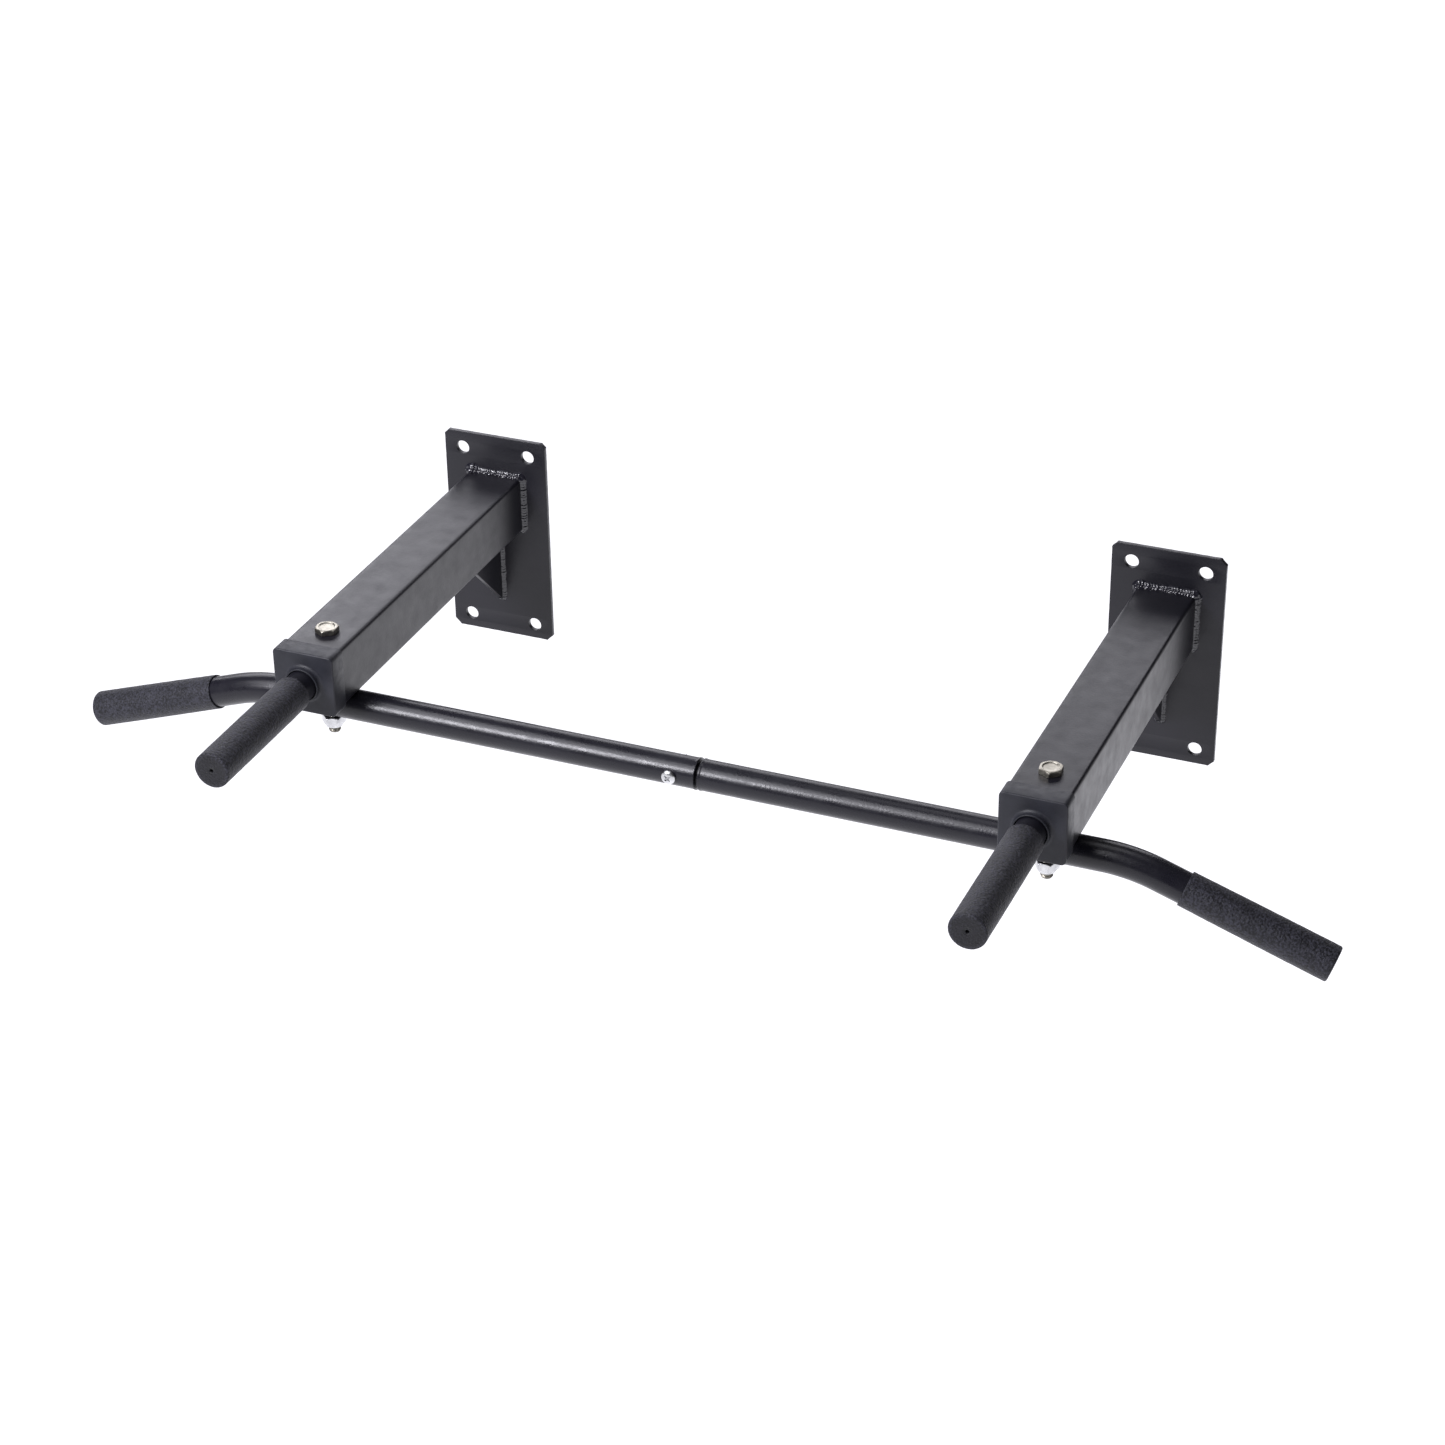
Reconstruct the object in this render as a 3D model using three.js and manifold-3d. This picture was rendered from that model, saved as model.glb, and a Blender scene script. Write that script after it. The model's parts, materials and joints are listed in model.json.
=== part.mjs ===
// Wall-mounted pull-up bar: two square arms on wall plates carry a two-piece cross bar with
// bent-down ends, and a short handle points forward from the end of each arm.
//
// Millimetres, +Z up. The origin is on the wall, midway between the arms, at the height of the
// arms' axes. +X runs along the bar, +Y points into the wall, so the user hangs on the -Y side.
// Distances called "reach" are measured from the wall towards the user.
import * as THREE from 'three';
import { mergeVertices } from 'three/addons/utils/BufferGeometryUtils.js';
import Module from 'manifold-3d';

const wasm = await Module();
wasm.setup();

// ---- driving dimensions ----
const ARM_SPACING = 604;

const PLATE = { width: 96, height: 192, thick: 4, top: 60.5, chamfer: 5 };
const WALL_HOLE = { radius: 6, fromSide: 17, fromTop: 15, fromBottom: 13.5 };

const ARM = { size: 50, wall: 2.5, corner: 3, endReach: 349.5 };
const ARM_WELD = 4.5;
const WELD_CROWN = 0.68; // how full a weld's face is; 0.5 is flat
const GUSSET = { leg: 71, thick: 4, nose: 3, cope: 12, land: 4, weld: 3.5 };
const END_PLATE = 3;
const CAP = { wall: 1.4, length: 17.5, front: 2.5 };
const COLLAR = { reach: 4.9, baseRadius: 17.6, rimRadius: 14.8, rimEdge: 0.6, hole: 13.2 };
const WELD_POCKET = { radius: 16, depth: 0.8, taper: 3.4 }; // room behind the collar for the weld

const HANDLE = { radius: 12.5, wall: 2, endReach: 496, weld: 3 };
const FOAM = { edge: 1.5, endWall: 5 };
const HANDLE_GRIP = { radius: 15, startReach: 373.5, endReach: 501.5, vent: 1.2 };

const BAR = { radius: 12.6, wall: 2, reach: 313 };
const BEND = { vertex: 367.4, radius: 135, angle: THREE.MathUtils.degToRad(19) };
const BAR_GRIP = { radius: 14.6, fromVertex: 43.6, length: 121.6 };
const BAR_JOINT = { x: 20.8, groove: 2.6, spigot: 10.3, spigotLength: 60 };

const BOLT = { radius: 5, flats: 17, head: 5, rim: 1.2, dish: 0.8, chamfer: 0.8, tip: 15.8 };
const NUT = { flats: 17, height: 7.5, chamfer: 1, collar: 2.6, collarRadius: 7.2, insertRadius: 6.1 };
const SCREW = { radius: 3, x: -1, headRadius: 5.8, headHeight: 3.6, headRim: 1.2, tip: 5 };
const RECESS = { width: 1.5, depth: 1.6, span: 7 };
const SCREW_NUT = { flats: 10, height: 3.2 };

const GAP = 0.3; // clearance between pieces that slide over each other
const OVERCUT = 1; // how far a cutting tool runs past what it cuts
const ROUND = 32; // sides of a round tube
const SMALL_ROUND = 24; // sides of a fastener
const CORNER_STEPS = 4; // facets in a quarter turn of a rounded corner
const BEND_STEPS = 6;

// ---- derived ----
const ARM_HALF = ARM.size / 2;
const BAR_Z = -ARM_HALF - BAR.radius; // the bar hangs against the underside of the arms
const BAR_BOTTOM = BAR_Z - BAR.radius;
const END_PLATE_REACH = ARM.endReach + END_PLATE;
const CAP_REACH = END_PLATE_REACH + CAP.front + GAP;
const NUT_TOP = BAR_BOTTOM - GAP;
const NUT_SHOULDER = NUT_TOP - NUT.height;
const NUT_END = NUT_SHOULDER - NUT.collar;
const BEND_TANGENT = BEND.radius * Math.tan(BEND.angle / 2);
const BEND_START = BEND.vertex - BEND_TANGENT;
const BEND_END = BEND_START + BEND.radius * BEND.angle; // along the bar's axis
const GRIP_START = BEND_END - BEND_TANGENT + BAR_GRIP.fromVertex;
const BAR_END = GRIP_START + BAR_GRIP.length - FOAM.endWall - GAP;
const SPIGOT_END = BAR_JOINT.x - BAR_JOINT.groove / 2 - BAR_JOINT.spigotLength;

// ---- materials ----
const finish = (color, roughness, metalness) =>
  new THREE.MeshStandardMaterial({ color, roughness, metalness });
const powderCoat = finish(0x3a3a40, 0.5, 0.2);
const weldCoat = finish(0x2e2e34, 0.35, 0.2);
const capPlastic = finish(0x3c3e48, 0.45, 0);
const foam = finish(0x3b3c44, 0.95, 0);
const nickel = finish(0xcfc9ba, 0.3, 1);
const zinc = finish(0xd9dce2, 0.3, 1);
const nylon = finish(0xe6e6e2, 0.6, 0);

// ---- solids ----
function solid(geometry) {
  geometry.deleteAttribute('normal');
  geometry.deleteAttribute('uv');
  const welded = mergeVertices(geometry);
  const vertProperties = welded.attributes.position.array;
  const triVerts = new Uint32Array(welded.index.array);
  return new wasm.Manifold(new wasm.Mesh({ numProp: 3, vertProperties, triVerts }));
}

function surface(manifold) {
  const mesh = manifold.getMesh();
  const geometry = new THREE.BufferGeometry();
  geometry.setAttribute('position', new THREE.BufferAttribute(mesh.vertProperties, 3));
  geometry.setIndex(new THREE.BufferAttribute(mesh.triVerts, 1));
  return geometry;
}

function join(first, ...others) {
  return surface(others.reduce((whole, other) => whole.add(solid(other)), solid(first)));
}

function cut(body, ...tools) {
  return surface(tools.reduce((rest, tool) => rest.subtract(solid(tool)), solid(body)));
}

function common(body, other) {
  return surface(solid(body).intersect(solid(other)));
}

// ---- shape helpers ----
// Each turned piece is drawn as [radius, distance along its axis] and stands on +Z.
function turned(profile, sides = ROUND) {
  const points = profile.map(([radius, along]) => new THREE.Vector2(radius, along));
  return new THREE.LatheGeometry(points, sides).rotateX(Math.PI / 2);
}

// A turned profile given as its outside, then its inside back to the start.
const turnedRing = (profile, sides) => turned([...profile, profile[0]], sides);

const alongX = (geometry) => geometry.rotateY(Math.PI / 2);
const alongReach = (geometry) => geometry.rotateX(Math.PI / 2);

function rod(radius, from, to, sides = SMALL_ROUND) {
  return turned([[0, from], [radius, from], [radius, to], [0, to]], sides);
}

const hexCorner = (flats) => flats / Math.sqrt(3);

function hexPrism(flats, from, to) {
  const geometry = new THREE.CylinderGeometry(hexCorner(flats), hexCorner(flats), to - from, 6);
  return geometry.rotateX(Math.PI / 2).translate(0, 0, (from + to) / 2);
}

// Rounded square centred on the arm's axis.
function roundedSquare(half, corner, Outline = THREE.Shape) {
  const outline = new Outline();
  const inner = half - corner;
  outline.moveTo(half, -inner);
  outline.absarc(inner, inner, corner, 0, Math.PI / 2);
  outline.absarc(-inner, inner, corner, Math.PI / 2, Math.PI);
  outline.absarc(-inner, -inner, corner, Math.PI, 1.5 * Math.PI);
  outline.absarc(inner, -inner, corner, 1.5 * Math.PI, 2 * Math.PI);
  return outline;
}

// Extrudes an X-Z outline from one reach to another.
function extrudeReach(outline, from, to, curveSegments = CORNER_STEPS) {
  const settings = { depth: to - from, bevelEnabled: false, curveSegments };
  return alongReach(new THREE.ExtrudeGeometry(outline, settings)).translate(0, -from, 0);
}

// A weld bead around a rounded rectangle. The bead's section is a convex fillet whose legs lie
// on the two joined faces. It is drawn around the Z axis, standing on z = 0.
function weldBead(halfX, halfY, corner, leg) {
  const root = GAP / 2;
  const crown = WELD_CROWN * leg;
  const section = [[root, 0], [leg, 0], [crown, crown], [root, leg]];
  const corners = [[1, 1], [-1, 1], [-1, -1], [1, -1]];
  const positions = [];
  corners.forEach(([signX, signY], quarter) => {
    for (let step = 0; step <= CORNER_STEPS; step += 1) {
      const angle = (quarter + step / CORNER_STEPS) * (Math.PI / 2);
      for (const [out, up] of section) {
        const x = signX * (halfX - corner) + (corner + out) * Math.cos(angle);
        const y = signY * (halfY - corner) + (corner + out) * Math.sin(angle);
        positions.push(x, y, up);
      }
    }
  });
  const stations = corners.length * (CORNER_STEPS + 1);
  const index = [];
  for (let station = 0; station < stations; station += 1) {
    const here = station * section.length;
    const next = ((station + 1) % stations) * section.length;
    for (let side = 0; side < section.length; side += 1) {
      const after = (side + 1) % section.length;
      index.push(here + side, next + side, here + after);
      index.push(next + side, next + after, here + after);
    }
  }
  const geometry = new THREE.BufferGeometry();
  geometry.setAttribute('position', new THREE.Float32BufferAttribute(positions, 3));
  geometry.setIndex(index);
  return geometry;
}

// Bends a straight piece lying along +X downwards, as a tube bender would.
function bentDown(geometry) {
  const positions = geometry.attributes.position;
  for (let i = 0; i < positions.count; i += 1) {
    const along = positions.getX(i) - BEND_START;
    if (along > 0) {
      const turn = Math.min(along / BEND.radius, BEND.angle);
      const beyond = along - turn * BEND.radius;
      const fromCentre = BEND.radius + positions.getZ(i);
      positions.setX(i, BEND_START + fromCentre * Math.sin(turn) + beyond * Math.cos(turn));
      positions.setZ(i, fromCentre * Math.cos(turn) - BEND.radius - beyond * Math.sin(turn));
    }
  }
  return geometry;
}

function piece(name, geometry, material) {
  const mesh = new THREE.Mesh(geometry, material);
  mesh.name = name;
  return mesh;
}

// ---- bracket pieces, drawn on an arm's own axis ----
function wallPlate() {
  const { width, height, thick, top, chamfer } = PLATE;
  const side = width / 2;
  const bottom = top - height;
  const outline = new THREE.Shape([
    new THREE.Vector2(side - chamfer, bottom), new THREE.Vector2(side, bottom + chamfer),
    new THREE.Vector2(side, top - chamfer), new THREE.Vector2(side - chamfer, top),
    new THREE.Vector2(chamfer - side, top), new THREE.Vector2(-side, top - chamfer),
    new THREE.Vector2(-side, bottom + chamfer), new THREE.Vector2(chamfer - side, bottom),
  ]);
  const holeX = side - WALL_HOLE.fromSide;
  for (const z of [top - WALL_HOLE.fromTop, bottom + WALL_HOLE.fromBottom]) {
    for (const x of [-holeX, holeX]) {
      outline.holes.push(new THREE.Path().absarc(x, z, WALL_HOLE.radius, 0, 2 * Math.PI));
    }
  }
  return extrudeReach(outline, 0, thick, SMALL_ROUND / 2);
}

function armTube() {
  const outline = roundedSquare(ARM_HALF, ARM.corner);
  outline.holes.push(roundedSquare(ARM_HALF - ARM.wall, ARM.corner - ARM.wall / 2, THREE.Path));
  const drilled = rod(BOLT.radius + GAP, -ARM.size, ARM.size).translate(0, -BAR.reach, 0);
  return cut(extrudeReach(outline, PLATE.thick, ARM.endReach), drilled);
}

function armWeld() {
  const bead = weldBead(ARM_HALF, ARM_HALF, ARM.corner, ARM_WELD);
  return alongReach(bead).translate(0, -PLATE.thick, 0);
}

// A right-angled web with its inner corner coped away to clear the arm's weld. The cope leaves
// both faces squarely, over the height of the web's own welds.
function gusset() {
  const root = PLATE.thick;
  const under = -ARM_HALF;
  const { leg, cope, land, nose } = GUSSET;
  const outline = new THREE.Shape([
    new THREE.Vector2(root + cope, under), new THREE.Vector2(root + cope, under - land),
    new THREE.Vector2(root + land, under - cope), new THREE.Vector2(root, under - cope),
    new THREE.Vector2(root, under - leg), new THREE.Vector2(root + nose, under - leg),
    new THREE.Vector2(root + leg, under - nose), new THREE.Vector2(root + leg, under),
  ]);
  const geometry = new THREE.ExtrudeGeometry(outline, { depth: GUSSET.thick, bevelEnabled: false });
  const towardsUser = new THREE.Vector3(0, -1, 0);
  const up = new THREE.Vector3(0, 0, 1);
  const sideways = new THREE.Vector3(-1, 0, 0);
  geometry.applyMatrix4(new THREE.Matrix4().makeBasis(towardsUser, up, sideways));
  return geometry.translate(GUSSET.thick / 2, 0, 0);
}

function gussetBead() {
  const length = GUSSET.leg - GUSSET.cope;
  return weldBead(GUSSET.thick / 2, length / 2, 0, GUSSET.weld);
}

function gussetPlateWeld() {
  const middle = -ARM_HALF - (GUSSET.leg + GUSSET.cope) / 2;
  return alongReach(gussetBead()).translate(0, -PLATE.thick, middle);
}

function gussetArmWeld() {
  const middle = PLATE.thick + (GUSSET.leg + GUSSET.cope) / 2;
  return gussetBead().rotateX(Math.PI).translate(0, -middle, -ARM_HALF);
}

function armEndPlate() {
  return extrudeReach(roundedSquare(ARM_HALF, ARM.corner), ARM.endReach, END_PLATE_REACH);
}

function handleTube() {
  const { radius, wall, endReach: end } = HANDLE;
  const start = END_PLATE_REACH;
  const inside = radius - wall;
  return alongReach(turnedRing([[radius, start], [radius, end], [inside, end], [inside, start]]));
}

function handleWeld() {
  const root = HANDLE.radius + GAP / 2;
  const toe = HANDLE.radius + HANDLE.weld;
  const profile = [[toe, END_PLATE_REACH], [root, END_PLATE_REACH + HANDLE.weld], [root, END_PLATE_REACH]];
  return alongReach(turnedRing(profile));
}

// A moulded sleeve over the arm's end, with a flared collar around the handle's tube.
function endCap() {
  const outside = ARM_HALF + GAP + CAP.wall;
  const back = CAP_REACH - CAP.length;
  const frontInside = END_PLATE_REACH + GAP;
  const rim = CAP_REACH + COLLAR.reach;
  const block = extrudeReach(roundedSquare(outside, ARM.corner + CAP.wall), back, CAP_REACH);
  const flare = (COLLAR.baseRadius + COLLAR.rimRadius) / 2 - COLLAR.rimEdge;
  const collar = alongReach(turned([
    [0, frontInside + GAP], [COLLAR.baseRadius, frontInside + GAP], [COLLAR.baseRadius, CAP_REACH],
    [flare, CAP_REACH + COLLAR.reach / 3], [COLLAR.rimRadius, rim - COLLAR.rimEdge],
    [COLLAR.rimRadius - COLLAR.rimEdge, rim], [0, rim],
  ]));
  const sleeve = roundedSquare(ARM_HALF + GAP, ARM.corner + GAP);
  const cavity = extrudeReach(sleeve, back - OVERCUT, frontInside);
  const pocket = frontInside + WELD_POCKET.depth;
  const bore = alongReach(turned([
    [0, frontInside - OVERCUT], [WELD_POCKET.radius, frontInside - OVERCUT],
    [WELD_POCKET.radius, pocket], [COLLAR.hole, pocket + WELD_POCKET.taper],
    [COLLAR.hole, rim + OVERCUT], [0, rim + OVERCUT],
  ]));
  return cut(join(block, collar), cavity, bore);
}

// Closed foam sleeve over a tube; a vent leaves a pinhole through its end.
function foamSleeve({ radius, start, end, bore, vent = 0 }) {
  const { edge, endWall } = FOAM;
  const outside = [
    [bore, start], [radius - edge, start], [radius, start + edge], [radius, end - edge],
    [radius - edge, end],
  ];
  const inside = [[vent, end], [vent, end - endWall], [bore, end - endWall], [bore, start]];
  return turned([...outside, ...inside]);
}

function handleGrip() {
  const { radius, startReach: start, endReach: end, vent } = HANDLE_GRIP;
  return alongReach(foamSleeve({ radius, start, end, bore: HANDLE.radius + GAP, vent }));
}

// Hexagon head with turned-off corners and a shallow dish in its top.
function armBolt() {
  const corner = hexCorner(BOLT.flats);
  const top = ARM_HALF + BOLT.head;
  const rim = BOLT.flats / 2 - BOLT.chamfer / 2;
  const blank = turned([
    [0, ARM_HALF], [corner, ARM_HALF], [corner, top - BOLT.chamfer], [rim, top],
    [rim - BOLT.rim, top], [rim - BOLT.rim - BOLT.dish, top - BOLT.dish], [0, top - BOLT.dish],
  ], SMALL_ROUND);
  const head = common(hexPrism(BOLT.flats, ARM_HALF, top), blank);
  const tip = BAR_BOTTOM - BOLT.tip;
  const intoHead = ARM_HALF + OVERCUT;
  const shank = turned([
    [0, tip], [BOLT.radius - BOLT.chamfer, tip], [BOLT.radius, tip + BOLT.chamfer],
    [BOLT.radius, intoHead], [0, intoHead],
  ], SMALL_ROUND);
  return join(head, shank).translate(0, -BAR.reach, 0);
}

// Hexagon nut with a round collar below that holds the nylon insert.
function lockNut() {
  const corner = hexCorner(NUT.flats);
  const face = NUT.flats / 2;
  const chamfered = turned([
    [0, NUT_END], [NUT.collarRadius - NUT.chamfer, NUT_END], [NUT.collarRadius, NUT_END + NUT.chamfer],
    [NUT.collarRadius, NUT_SHOULDER], [face, NUT_SHOULDER], [corner, NUT_SHOULDER + NUT.chamfer],
    [corner, NUT_TOP - NUT.chamfer], [face, NUT_TOP], [0, NUT_TOP],
  ], SMALL_ROUND);
  const threaded = rod(BOLT.radius + GAP, NUT_END - OVERCUT, NUT_TOP + OVERCUT);
  const seat = rod(NUT.insertRadius + GAP, NUT_END - OVERCUT, NUT_SHOULDER);
  const body = common(hexPrism(NUT.flats, NUT_END, NUT_TOP), chamfered);
  return cut(body, threaded, seat).translate(0, -BAR.reach, 0);
}

function lockNutInsert() {
  const bore = BOLT.radius + GAP;
  const low = NUT_END + GAP;
  const high = NUT_SHOULDER - GAP;
  const profile = [[NUT.insertRadius, low], [NUT.insertRadius, high], [bore, high], [bore, low]];
  return turnedRing(profile, SMALL_ROUND).translate(0, -BAR.reach, 0);
}

function bracket(side, x) {
  const group = new THREE.Group();
  group.position.x = x;
  group.add(
    piece(`${side}_wall_plate`, wallPlate(), powderCoat),
    piece(`${side}_arm_tube`, armTube(), powderCoat),
    piece(`${side}_arm_weld`, armWeld(), weldCoat),
    piece(`${side}_gusset`, gusset(), powderCoat),
    piece(`${side}_gusset_plate_weld`, gussetPlateWeld(), weldCoat),
    piece(`${side}_gusset_arm_weld`, gussetArmWeld(), weldCoat),
    piece(`${side}_arm_end_plate`, armEndPlate(), powderCoat),
    piece(`${side}_handle_tube`, handleTube(), powderCoat),
    piece(`${side}_handle_weld`, handleWeld(), weldCoat),
    piece(`${side}_end_cap`, endCap(), capPlastic),
    piece(`${side}_handle_grip`, handleGrip(), foam),
    piece(`${side}_arm_bolt`, armBolt(), nickel),
    piece(`${side}_lock_nut`, lockNut(), zinc),
    piece(`${side}_lock_nut_insert`, lockNutInsert(), nylon),
  );
  return group;
}

// ---- cross bar, drawn on its own axis from the middle of the object towards one end ----
// Where the tube wall needs a ring of vertices so that it can be bent.
function bendStations() {
  return Array.from({ length: BEND_STEPS + 1 }, (_, step) =>
    BEND_START + (BEND_END - BEND_START) * (step / BEND_STEPS));
}

const wallProfile = (radius, stations) => stations.map((along) => [radius, along]);

function socketHalf() {
  const stations = [-(BAR_JOINT.x - BAR_JOINT.groove / 2), ...bendStations(), BAR_END];
  const outside = wallProfile(BAR.radius, stations);
  const inside = wallProfile(BAR.radius - BAR.wall, [...stations].reverse());
  return bentDown(alongX(turnedRing([...outside, ...inside])));
}

// The other half ends in a reduced spigot that slides into the socket.
function spigotHalf() {
  const shoulder = BAR_JOINT.x + BAR_JOINT.groove / 2;
  const stations = [shoulder, ...bendStations(), BAR_END];
  const spigotBore = BAR_JOINT.spigot - BAR.wall;
  const outside = [
    [BAR_JOINT.spigot, SPIGOT_END], [BAR_JOINT.spigot, shoulder], ...wallProfile(BAR.radius, stations),
  ];
  const inside = wallProfile(BAR.radius - BAR.wall, [shoulder + BAR.wall, ...stations.slice(1)].reverse());
  const spigotInside = [[spigotBore, shoulder + BAR.wall], [spigotBore, SPIGOT_END]];
  return bentDown(alongX(turnedRing([...outside, ...inside, ...spigotInside])));
}

const throughBar = (radius) => rod(radius, -BAR.radius - OVERCUT, BAR.radius + OVERCUT);
const boltHole = (x) => throughBar(BOLT.radius + GAP).translate(x, 0, 0);
const screwHole = () => alongReach(throughBar(SCREW.radius + GAP)).translate(SCREW.x, 0, 0);

function barGrip() {
  const { radius, length } = BAR_GRIP;
  const sleeve = foamSleeve({ radius, start: GRIP_START, end: GRIP_START + length, bore: BAR.radius + GAP });
  return bentDown(alongX(sleeve));
}

// Pan head with a cross recess, facing the user.
function jointScrew() {
  const seat = BAR.radius + GAP;
  const top = seat + SCREW.headHeight;
  const tip = -BAR.radius - SCREW.tip;
  const { radius, headRadius, headRim } = SCREW;
  const body = alongReach(turned([
    [0, tip], [radius, tip], [radius, seat], [headRadius, seat], [headRadius, seat + headRim],
    [0.86 * headRadius, top - 0.25 * SCREW.headHeight], [0.55 * headRadius, top - 0.05 * SCREW.headHeight],
    [0, top],
  ], SMALL_ROUND));
  const slots = [0, 1].map((quarter) => {
    const slot = new THREE.BoxGeometry(RECESS.span, 2 * RECESS.depth, RECESS.width);
    return slot.rotateY(quarter * (Math.PI / 2)).translate(0, -top, 0);
  });
  return cut(body, ...slots);
}

// A thin nut on the back of the bar, with a flat uppermost.
function jointNut() {
  const near = -BAR.radius - GAP;
  const far = near - SCREW_NUT.height;
  const threaded = rod(SCREW.radius + GAP, far - OVERCUT, near + OVERCUT);
  return alongReach(cut(hexPrism(SCREW_NUT.flats, far, near).rotateZ(Math.PI / 6), threaded));
}

function crossBar() {
  const group = new THREE.Group();
  group.position.set(0, -BAR.reach, BAR_Z);
  const arm = ARM_SPACING / 2;
  const leftHalf = socketHalf().rotateZ(Math.PI);
  const rightHalf = spigotHalf();
  const screw = piece('joint_screw', jointScrew(), zinc);
  const nut = piece('joint_nut', jointNut(), zinc);
  screw.position.x = SCREW.x;
  nut.position.x = SCREW.x;
  group.add(
    piece('left_bar_half', cut(leftHalf, boltHole(-arm), screwHole()), powderCoat),
    piece('right_bar_half', cut(rightHalf, boltHole(arm), screwHole()), powderCoat),
    piece('left_bar_grip', barGrip().rotateZ(Math.PI), foam),
    piece('right_bar_grip', barGrip(), foam),
    screw,
    nut,
  );
  return group;
}

const pullUpBar = new THREE.Group();
pullUpBar.add(bracket('left', -ARM_SPACING / 2), bracket('right', ARM_SPACING / 2), crossBar());

export default pullUpBar;
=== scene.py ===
import json
import math

import bmesh
import bpy
import numpy as np
from mathutils import Matrix, Vector, noise

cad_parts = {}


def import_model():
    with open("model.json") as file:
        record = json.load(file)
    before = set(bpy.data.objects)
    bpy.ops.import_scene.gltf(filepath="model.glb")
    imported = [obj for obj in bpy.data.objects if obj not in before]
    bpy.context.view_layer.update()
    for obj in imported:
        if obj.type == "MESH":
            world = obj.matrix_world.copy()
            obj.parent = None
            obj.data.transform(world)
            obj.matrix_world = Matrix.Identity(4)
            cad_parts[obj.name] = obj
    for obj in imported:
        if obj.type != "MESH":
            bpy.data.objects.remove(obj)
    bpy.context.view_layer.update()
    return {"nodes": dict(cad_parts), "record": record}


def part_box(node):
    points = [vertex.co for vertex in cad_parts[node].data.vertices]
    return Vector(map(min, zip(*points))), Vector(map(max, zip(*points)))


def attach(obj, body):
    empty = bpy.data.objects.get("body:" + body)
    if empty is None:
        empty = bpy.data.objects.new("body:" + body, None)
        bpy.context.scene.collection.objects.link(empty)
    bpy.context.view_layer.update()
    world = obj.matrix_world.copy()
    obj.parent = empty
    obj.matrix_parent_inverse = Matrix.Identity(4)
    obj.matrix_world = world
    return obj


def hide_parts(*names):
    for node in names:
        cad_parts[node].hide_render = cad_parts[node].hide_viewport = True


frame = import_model()

# Shapes are worked out in millimetres in the row frame and written in metres.
MM = 0.001
SIDES = ("left", "right")
TAU = 2 * math.pi

# ---------------------------------------------------------------- places taken from the frame


def low(node):
    """The least corner of a node's box, in millimetres."""
    return np.array(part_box(node)[0]) / MM


def high(node):
    """The greatest corner of a node's box, in millimetres."""
    return np.array(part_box(node)[1]) / MM


def middle(node):
    """The centre of a node's box, in millimetres."""
    return (low(node) + high(node)) / 2


def size(node):
    """The three sizes of a node's box, in millimetres."""
    return high(node) - low(node)


ARM_X = {side: middle(f"{side}_arm_tube")[0] for side in SIDES}
ARM_HALF = size("left_arm_tube")[0] / 2
PLATE_FRONT = -low("left_wall_plate")[1]
BOLT_REACH = -middle("left_arm_bolt")[1]
BAR_RADIUS = size("left_bar_half")[1] / 2
BAR_Z = middle("joint_screw")[2]
SCREW_X = middle("joint_screw")[0]

# ---------------------------------------------------------------- detail sizes, in millimetres

PLATE_CORNERS = {"left": (3.8, 3.6, 5.0, 5.8), "right": (4.4, 5.2, 4.8, 5.0)}
WALL_HOLE = {"radius": 6, "side": 17, "top": 15, "bottom": 13.5}
ARM_CORNER = 3
ARM_WALL = 2.5
GUSSET = {"cope": 12, "land": 4, "nose": 3}
CAP = {"wall": 1.4, "corner": 4.2, "front": 2.5, "edge": 1.3}
COLLAR = {"reach": 4.9, "base": 17.6, "rim": 14.5, "hole": 13.2, "pocket": 16, "taper": (0.8, 4.2)}
FOAM_END = 5
VENT = 1.5
BEND = {"vertex": 367.4, "radius": 135, "angle": math.radians(19)}
BAR_GRIP = {"from_vertex": 43.6, "length": 121.6, "mouth": 14.1, "end": 14.6}
GRIP_SEAM = {"left": None, "right": 72}
TUBE_WALL = 2
BAR_JOINT = {"x": 20.8, "groove": 2.6, "spigot": 10.3, "spigot_length": 60, "lip": 0.35}
BOLT = {"radius": 5, "flats": 17, "head": 5, "pitch": 1.5}
NUT = {"flats": 17, "collar": 2.6, "collar_radius": 7.2, "insert": 6.1}
SCREW = {"radius": 3, "head_radius": 5.8, "head_height": 3.6, "pitch": 1}
CLEARANCE = 0.3
# Edges that turn by more degrees than this stay crisp.
SHARP = 38

# ---------------------------------------------------------------- mesh tools


def finish_mesh(mesh, sharp):
    """Normals outwards, smooth shading, with edges sharper than that angle kept crisp."""
    bm = bmesh.new()
    bm.from_mesh(mesh)
    bmesh.ops.recalc_face_normals(bm, faces=bm.faces)
    bm.to_mesh(mesh)
    bm.free()
    mesh.polygons.foreach_set("use_smooth", [True] * len(mesh.polygons))
    mesh.set_sharp_from_angle(angle=math.radians(sharp))


def ring_mesh(name, rings, wrap=False, sharp=SHARP):
    """A closed mesh through rings of equal length. Its ends join up if wrap, or else are capped."""
    rings = np.array(rings, float)
    count, around = rings.shape[:2]
    here = np.arange(around)
    there = (here + 1) % around
    quads = []
    for ring in range(count if wrap else count - 1):
        a, b = ring * around, (ring + 1) % count * around
        quads += np.stack([a + here, a + there, b + there, b + here], 1).tolist()
    if not wrap:
        quads.append(list(range(around)))
        quads.append(list(range((count - 1) * around, count * around)))
    mesh = bpy.data.meshes.new(name)
    mesh.from_pydata((rings.reshape(-1, 3) * MM).tolist(), [], quads)
    finish_mesh(mesh, sharp)
    thing = bpy.data.objects.new(name, mesh)
    bpy.context.scene.collection.objects.link(thing)
    return thing


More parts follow.
